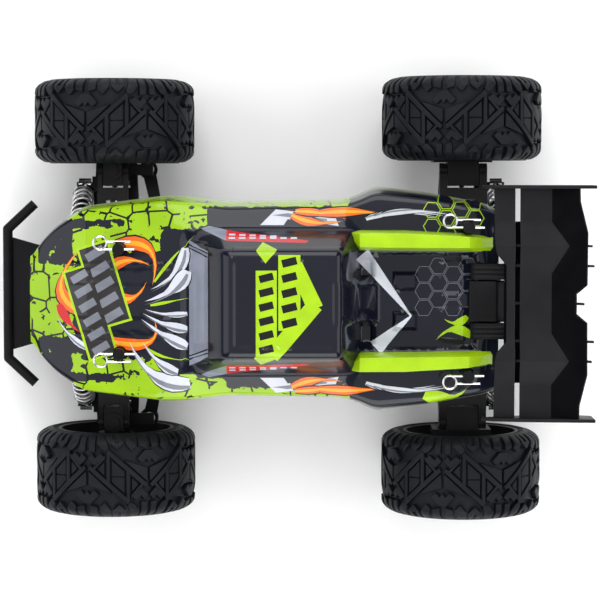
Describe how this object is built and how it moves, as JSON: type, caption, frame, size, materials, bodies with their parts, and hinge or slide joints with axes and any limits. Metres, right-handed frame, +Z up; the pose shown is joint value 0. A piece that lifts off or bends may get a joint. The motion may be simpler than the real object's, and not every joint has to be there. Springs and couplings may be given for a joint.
{
  "type": "radio-controlled monster truck",
  "caption": "Small radio-controlled off-road truck with sprung wishbones, steering front wheels, shaft drive, clip-on body shell and rear wing.",
  "frame": {"origin": "on the floor under the middle of the overall box, midway between the axles", "axes": "+X forward, +Y the truck's left side, +Z up"},
  "size_m": [0.309, 0.233, 0.131],
  "materials": {
    "tyre_rubber": "matte",
    "wheel_plastic": "satin",
    "arm_plastic": "satin",
    "shock_plastic": "satin",
    "bright_steel": "bright",
    "chassis_plastic": "satin",
    "shell_paint": "gloss",
    "battery_wrap": "gloss",
    "case_plastic": "satin",
    "motor_can": "satin",
    "switch_red": "gloss"
  },
  "bodies": {
    "chassis": {"chassis_tub": "chassis_plastic", "top_deck": "chassis_plastic", "gearboxes": "chassis_plastic", "shock_towers": "chassis_plastic", "battery_pack": "battery_wrap", "receiver_box": "case_plastic", "steering_servo": "case_plastic", "drive_motor": "motor_can", "body_posts": "chassis_plastic", "front_bumper": "chassis_plastic", "wing_mount": "chassis_plastic", "rear_wing": "chassis_plastic", "pins_and_screws": "bright_steel", "body_shell": "shell_paint", "shock_springs": "bright_steel"},
    "servo_horn": {"servo_horn": "chassis_plastic"},
    "steering_slider": {"steering_slider": "chassis_plastic"},
    "lower_arm_front_left": {"lower_arm_front_left": "arm_plastic"},
    "upper_arm_front_left": {"upper_arm_front_left": "arm_plastic"},
    "steering_carrier_left": {"steering_carrier_left": "arm_plastic"},
    "dogbone_front_left": {"dogbone_front_left": "bright_steel"},
    "shock_body_front_left": {"shock_body_front_left": "shock_plastic"},
    "shock_rod_front_left": {"shock_rod_front_left": "bright_steel"},
    "wheel_front_left": {"tyre_front_left": "tyre_rubber", "rim_front_left": "wheel_plastic"},
    "knuckle_left": {"knuckle_left": "arm_plastic"},
    "tie_rod_left": {"tie_rod_left": "arm_plastic"},
    "lower_arm_front_right": {"lower_arm_front_right": "arm_plastic"},
    "upper_arm_front_right": {"upper_arm_front_right": "arm_plastic"},
    "steering_carrier_right": {"steering_carrier_right": "arm_plastic"},
    "dogbone_front_right": {"dogbone_front_right": "bright_steel"},
    "shock_body_front_right": {"shock_body_front_right": "shock_plastic"},
    "shock_rod_front_right": {"shock_rod_front_right": "bright_steel"},
    "wheel_front_right": {"tyre_front_right": "tyre_rubber", "rim_front_right": "wheel_plastic"},
    "knuckle_right": {"knuckle_right": "arm_plastic"},
    "tie_rod_right": {"tie_rod_right": "arm_plastic"},
    "front_diff": {"front_diff": "bright_steel"},
    "lower_arm_rear_left": {"lower_arm_rear_left": "arm_plastic"},
    "upper_arm_rear_left": {"upper_arm_rear_left": "arm_plastic"},
    "hub_carrier_left": {"hub_carrier_left": "arm_plastic"},
    "dogbone_rear_left": {"dogbone_rear_left": "bright_steel"},
    "shock_body_rear_left": {"shock_body_rear_left": "shock_plastic"},
    "shock_rod_rear_left": {"shock_rod_rear_left": "bright_steel"},
    "wheel_rear_left": {"tyre_rear_left": "tyre_rubber", "rim_rear_left": "wheel_plastic"},
    "lower_arm_rear_right": {"lower_arm_rear_right": "arm_plastic"},
    "upper_arm_rear_right": {"upper_arm_rear_right": "arm_plastic"},
    "hub_carrier_right": {"hub_carrier_right": "arm_plastic"},
    "dogbone_rear_right": {"dogbone_rear_right": "bright_steel"},
    "shock_body_rear_right": {"shock_body_rear_right": "shock_plastic"},
    "shock_rod_rear_right": {"shock_rod_rear_right": "bright_steel"},
    "wheel_rear_right": {"tyre_rear_right": "tyre_rubber", "rim_rear_right": "wheel_plastic"},
    "rear_diff": {"rear_diff": "bright_steel"},
    "centre_shaft": {"centre_shaft": "bright_steel"},
    "motor_pinion": {"motor_pinion": "bright_steel"},
    "battery_door": {"battery_door": "chassis_plastic"},
    "power_switch": {"power_switch": "switch_red"},
    "body_clips": {"body_clips": "bright_steel"}
  },
  "joints": [
    {"name": "steering", "type": "hinge", "parent": "chassis", "child": "servo_horn", "pos_m": [0.05, 0, 0.04], "axis": [0, 0, 1], "range_deg": [-24.3, 24.3]},
    {"name": "rack_travel", "type": "slide", "parent": "chassis", "child": "steering_slider", "axis": [0, 1, 0], "range_m": [-0.00593, 0.00593]},
    {"name": "suspension_front_left", "type": "hinge", "parent": "chassis", "child": "lower_arm_front_left", "pos_m": [0.0925, 0.022, 0.038], "axis": [1, 0, 0], "range_deg": [-8, 14], "stiffness_Nm_per_rad": 1.2, "springref_deg": -6.3, "deforming": ["shock_springs"]},
    {"name": "upper_link_front_left", "type": "hinge", "parent": "chassis", "child": "upper_arm_front_left", "pos_m": [0.0925, 0.022, 0.063], "axis": [1, 0, 0], "range_deg": [-8, 14]},
    {"name": "carrier_tilt_front_left", "type": "hinge", "parent": "lower_arm_front_left", "child": "steering_carrier_left", "pos_m": [0.0925, 0.067, 0.03], "axis": [1, 0, 0], "range_deg": [-14, 8]},
    {"name": "shock_swing_front_left", "type": "hinge", "parent": "chassis", "child": "shock_body_front_left", "pos_m": [0.109, 0.031, 0.082], "axis": [1, 0, 0], "range_deg": [-3.2, 5.5]},
    {"name": "rod_swing_front_left", "type": "hinge", "parent": "lower_arm_front_left", "child": "shock_rod_front_left", "pos_m": [0.109, 0.059, 0.036], "axis": [1, 0, 0], "range_deg": [-8.8, 5.1]},
    {"name": "dogbone_spin_front_left", "type": "hinge", "parent": "lower_arm_front_left", "child": "dogbone_front_left", "pos_m": [0.0925, 0.022, 0.0505], "axis": [0, 0.9846, -0.175], "continuous": true},
    {"name": "steer_left", "type": "hinge", "parent": "steering_carrier_left", "child": "knuckle_left", "pos_m": [0.0925, 0.067, 0.0425], "axis": [0, 0, 1], "range_deg": [-20.1, 20.1]},
    {"name": "tie_rod_swing_left", "type": "hinge", "parent": "steering_slider", "child": "tie_rod_left", "pos_m": [0.065, 0.022, 0.038], "axis": [1, 0, 0], "range_deg": [-8, 14]},
    {"name": "wheel_spin_front_left", "type": "hinge", "parent": "knuckle_left", "child": "wheel_front_left", "pos_m": [0.0925, 0.0925, 0.0425], "axis": [0, 1, 0], "continuous": true},
    {"name": "suspension_front_right", "type": "hinge", "parent": "chassis", "child": "lower_arm_front_right", "pos_m": [0.0925, -0.022, 0.038], "axis": [-1, 0, 0], "range_deg": [-8, 14], "stiffness_Nm_per_rad": 1.2, "springref_deg": -6.3, "deforming": ["shock_springs"]},
    {"name": "upper_link_front_right", "type": "hinge", "parent": "chassis", "child": "upper_arm_front_right", "pos_m": [0.0925, -0.022, 0.063], "axis": [-1, 0, 0], "range_deg": [-8, 14]},
    {"name": "carrier_tilt_front_right", "type": "hinge", "parent": "lower_arm_front_right", "child": "steering_carrier_right", "pos_m": [0.0925, -0.067, 0.03], "axis": [-1, 0, 0], "range_deg": [-14, 8]},
    {"name": "shock_swing_front_right", "type": "hinge", "parent": "chassis", "child": "shock_body_front_right", "pos_m": [0.109, -0.031, 0.082], "axis": [-1, 0, 0], "range_deg": [-3.2, 5.5]},
    {"name": "rod_swing_front_right", "type": "hinge", "parent": "lower_arm_front_right", "child": "shock_rod_front_right", "pos_m": [0.109, -0.059, 0.036], "axis": [-1, 0, 0], "range_deg": [-8.8, 5.1]},
    {"name": "dogbone_spin_front_right", "type": "hinge", "parent": "lower_arm_front_right", "child": "dogbone_front_right", "pos_m": [0.0925, -0.022, 0.0505], "axis": [0, 0.9846, 0.175], "continuous": true},
    {"name": "steer_right", "type": "hinge", "parent": "steering_carrier_right", "child": "knuckle_right", "pos_m": [0.0925, -0.067, 0.0425], "axis": [0, 0, 1], "range_deg": [-20.1, 20.1]},
    {"name": "tie_rod_swing_right", "type": "hinge", "parent": "steering_slider", "child": "tie_rod_right", "pos_m": [0.065, -0.022, 0.038], "axis": [-1, 0, 0], "range_deg": [-8, 14]},
    {"name": "wheel_spin_front_right", "type": "hinge", "parent": "knuckle_right", "child": "wheel_front_right", "pos_m": [0.0925, -0.0925, 0.0425], "axis": [0, 1, 0], "continuous": true},
    {"name": "diff_spin_front", "type": "hinge", "parent": "chassis", "child": "front_diff", "pos_m": [0.0925, 0, 0.0505], "axis": [0, 1, 0], "continuous": true},
    {"name": "suspension_rear_left", "type": "hinge", "parent": "chassis", "child": "lower_arm_rear_left", "pos_m": [-0.0925, 0.022, 0.038], "axis": [1, 0, 0], "range_deg": [-8, 14], "stiffness_Nm_per_rad": 1.2, "springref_deg": -6.3, "deforming": ["shock_springs"]},
    {"name": "upper_link_rear_left", "type": "hinge", "parent": "chassis", "child": "upper_arm_rear_left", "pos_m": [-0.0925, 0.022, 0.063], "axis": [1, 0, 0], "range_deg": [-8, 14]},
    {"name": "carrier_tilt_rear_left", "type": "hinge", "parent": "lower_arm_rear_left", "child": "hub_carrier_left", "pos_m": [-0.0925, 0.067, 0.03], "axis": [1, 0, 0], "range_deg": [-14, 8]},
    {"name": "shock_swing_rear_left", "type": "hinge", "parent": "chassis", "child": "shock_body_rear_left", "pos_m": [-0.1113, 0.031, 0.082], "axis": [1, 0, 0], "range_deg": [-3.2, 5.5]},
    {"name": "rod_swing_rear_left", "type": "hinge", "parent": "lower_arm_rear_left", "child": "shock_rod_rear_left", "pos_m": [-0.1113, 0.059, 0.036], "axis": [1, 0, 0], "range_deg": [-8.8, 5.1]},
    {"name": "dogbone_spin_rear_left", "type": "hinge", "parent": "lower_arm_rear_left", "child": "dogbone_rear_left", "pos_m": [-0.0925, 0.022, 0.0505], "axis": [0, 0.9846, -0.175], "continuous": true},
    {"name": "wheel_spin_rear_left", "type": "hinge", "parent": "hub_carrier_left", "child": "wheel_rear_left", "pos_m": [-0.0925, 0.094, 0.0425], "axis": [0, 1, 0], "continuous": true},
    {"name": "suspension_rear_right", "type": "hinge", "parent": "chassis", "child": "lower_arm_rear_right", "pos_m": [-0.0925, -0.022, 0.038], "axis": [-1, 0, 0], "range_deg": [-8, 14], "stiffness_Nm_per_rad": 1.2, "springref_deg": -6.3, "deforming": ["shock_springs"]},
    {"name": "upper_link_rear_right", "type": "hinge", "parent": "chassis", "child": "upper_arm_rear_right", "pos_m": [-0.0925, -0.022, 0.063], "axis": [-1, 0, 0], "range_deg": [-8, 14]},
    {"name": "carrier_tilt_rear_right", "type": "hinge", "parent": "lower_arm_rear_right", "child": "hub_carrier_right", "pos_m": [-0.0925, -0.067, 0.03], "axis": [-1, 0, 0], "range_deg": [-14, 8]},
    {"name": "shock_swing_rear_right", "type": "hinge", "parent": "chassis", "child": "shock_body_rear_right", "pos_m": [-0.1113, -0.031, 0.082], "axis": [-1, 0, 0], "range_deg": [-3.2, 5.5]},
    {"name": "rod_swing_rear_right", "type": "hinge", "parent": "lower_arm_rear_right", "child": "shock_rod_rear_right", "pos_m": [-0.1113, -0.059, 0.036], "axis": [-1, 0, 0], "range_deg": [-8.8, 5.1]},
    {"name": "dogbone_spin_rear_right", "type": "hinge", "parent": "lower_arm_rear_right", "child": "dogbone_rear_right", "pos_m": [-0.0925, -0.022, 0.0505], "axis": [0, 0.9846, 0.175], "continuous": true},
    {"name": "wheel_spin_rear_right", "type": "hinge", "parent": "hub_carrier_right", "child": "wheel_rear_right", "pos_m": [-0.0925, -0.094, 0.0425], "axis": [0, 1, 0], "continuous": true},
    {"name": "diff_spin_rear", "type": "hinge", "parent": "chassis", "child": "rear_diff", "pos_m": [-0.0925, 0, 0.0505], "axis": [0, 1, 0], "continuous": true},
    {"name": "centre_shaft_spin", "type": "hinge", "parent": "chassis", "child": "centre_shaft", "pos_m": [0, 0, 0.0505], "axis": [1, 0, 0], "continuous": true},
    {"name": "motor_spin", "type": "hinge", "parent": "chassis", "child": "motor_pinion", "pos_m": [-0.058, 0.018, 0.04008], "axis": [1, 0, 0], "continuous": true},
    {"name": "battery_door_slide", "type": "slide", "parent": "chassis", "child": "battery_door", "axis": [-1, 0, 0], "range_m": [0, 0.03]},
    {"name": "switch_slide", "type": "slide", "parent": "chassis", "child": "power_switch", "axis": [1, 0, 0], "range_m": [0, 0.004]},
    {"name": "clip_pull", "type": "slide", "parent": "chassis", "child": "body_clips", "axis": [1, 0, 0], "range_m": [0, 0.02]}
  ],
  "couplings": [
    {"joint": "steering", "follows": "rack_travel", "rad_per_m": 71.429},
    {"joint": "upper_link_front_left", "follows": "suspension_front_left", "ratio": 1},
    {"joint": "carrier_tilt_front_left", "follows": "suspension_front_left", "ratio": -1},
    {"joint": "shock_swing_front_left", "follows": "suspension_front_left", "ratio": 0.382},
    {"joint": "rod_swing_front_left", "follows": "suspension_front_left", "ratio": -0.618},
    {"joint": "steer_left", "follows": "rack_travel", "rad_per_m": -58.824},
    {"joint": "tie_rod_swing_left", "follows": "suspension_front_left", "ratio": 1},
    {"joint": "wheel_spin_front_left", "follows": "wheel_spin_rear_left", "ratio": 1},
    {"joint": "dogbone_spin_front_left", "follows": "wheel_spin_rear_left", "ratio": 1},
    {"joint": "upper_link_front_right", "follows": "suspension_front_right", "ratio": 1},
    {"joint": "carrier_tilt_front_right", "follows": "suspension_front_right", "ratio": -1},
    {"joint": "shock_swing_front_right", "follows": "suspension_front_right", "ratio": 0.382},
    {"joint": "rod_swing_front_right", "follows": "suspension_front_right", "ratio": -0.618},
    {"joint": "steer_right", "follows": "rack_travel", "rad_per_m": -58.824},
    {"joint": "tie_rod_swing_right", "follows": "suspension_front_right", "ratio": 1},
    {"joint": "wheel_spin_front_right", "follows": "wheel_spin_rear_left", "ratio": 1},
    {"joint": "dogbone_spin_front_right", "follows": "wheel_spin_rear_left", "ratio": 1},
    {"joint": "diff_spin_front", "follows": "wheel_spin_rear_left", "ratio": 1},
    {"joint": "upper_link_rear_left", "follows": "suspension_rear_left", "ratio": 1},
    {"joint": "carrier_tilt_rear_left", "follows": "suspension_rear_left", "ratio": -1},
    {"joint": "shock_swing_rear_left", "follows": "suspension_rear_left", "ratio": 0.382},
    {"joint": "rod_swing_rear_left", "follows": "suspension_rear_left", "ratio": -0.618},
    {"joint": "dogbone_spin_rear_left", "follows": "wheel_spin_rear_left", "ratio": 1},
    {"joint": "upper_link_rear_right", "follows": "suspension_rear_right", "ratio": 1},
    {"joint": "carrier_tilt_rear_right", "follows": "suspension_rear_right", "ratio": -1},
    {"joint": "shock_swing_rear_right", "follows": "suspension_rear_right", "ratio": 0.382},
    {"joint": "rod_swing_rear_right", "follows": "suspension_rear_right", "ratio": -0.618},
    {"joint": "wheel_spin_rear_right", "follows": "wheel_spin_rear_left", "ratio": 1},
    {"joint": "dogbone_spin_rear_right", "follows": "wheel_spin_rear_left", "ratio": 1},
    {"joint": "diff_spin_rear", "follows": "wheel_spin_rear_left", "ratio": 1},
    {"joint": "centre_shaft_spin", "follows": "wheel_spin_rear_left", "ratio": 2},
    {"joint": "motor_spin", "follows": "wheel_spin_rear_left", "ratio": -6.6667}
  ]
}
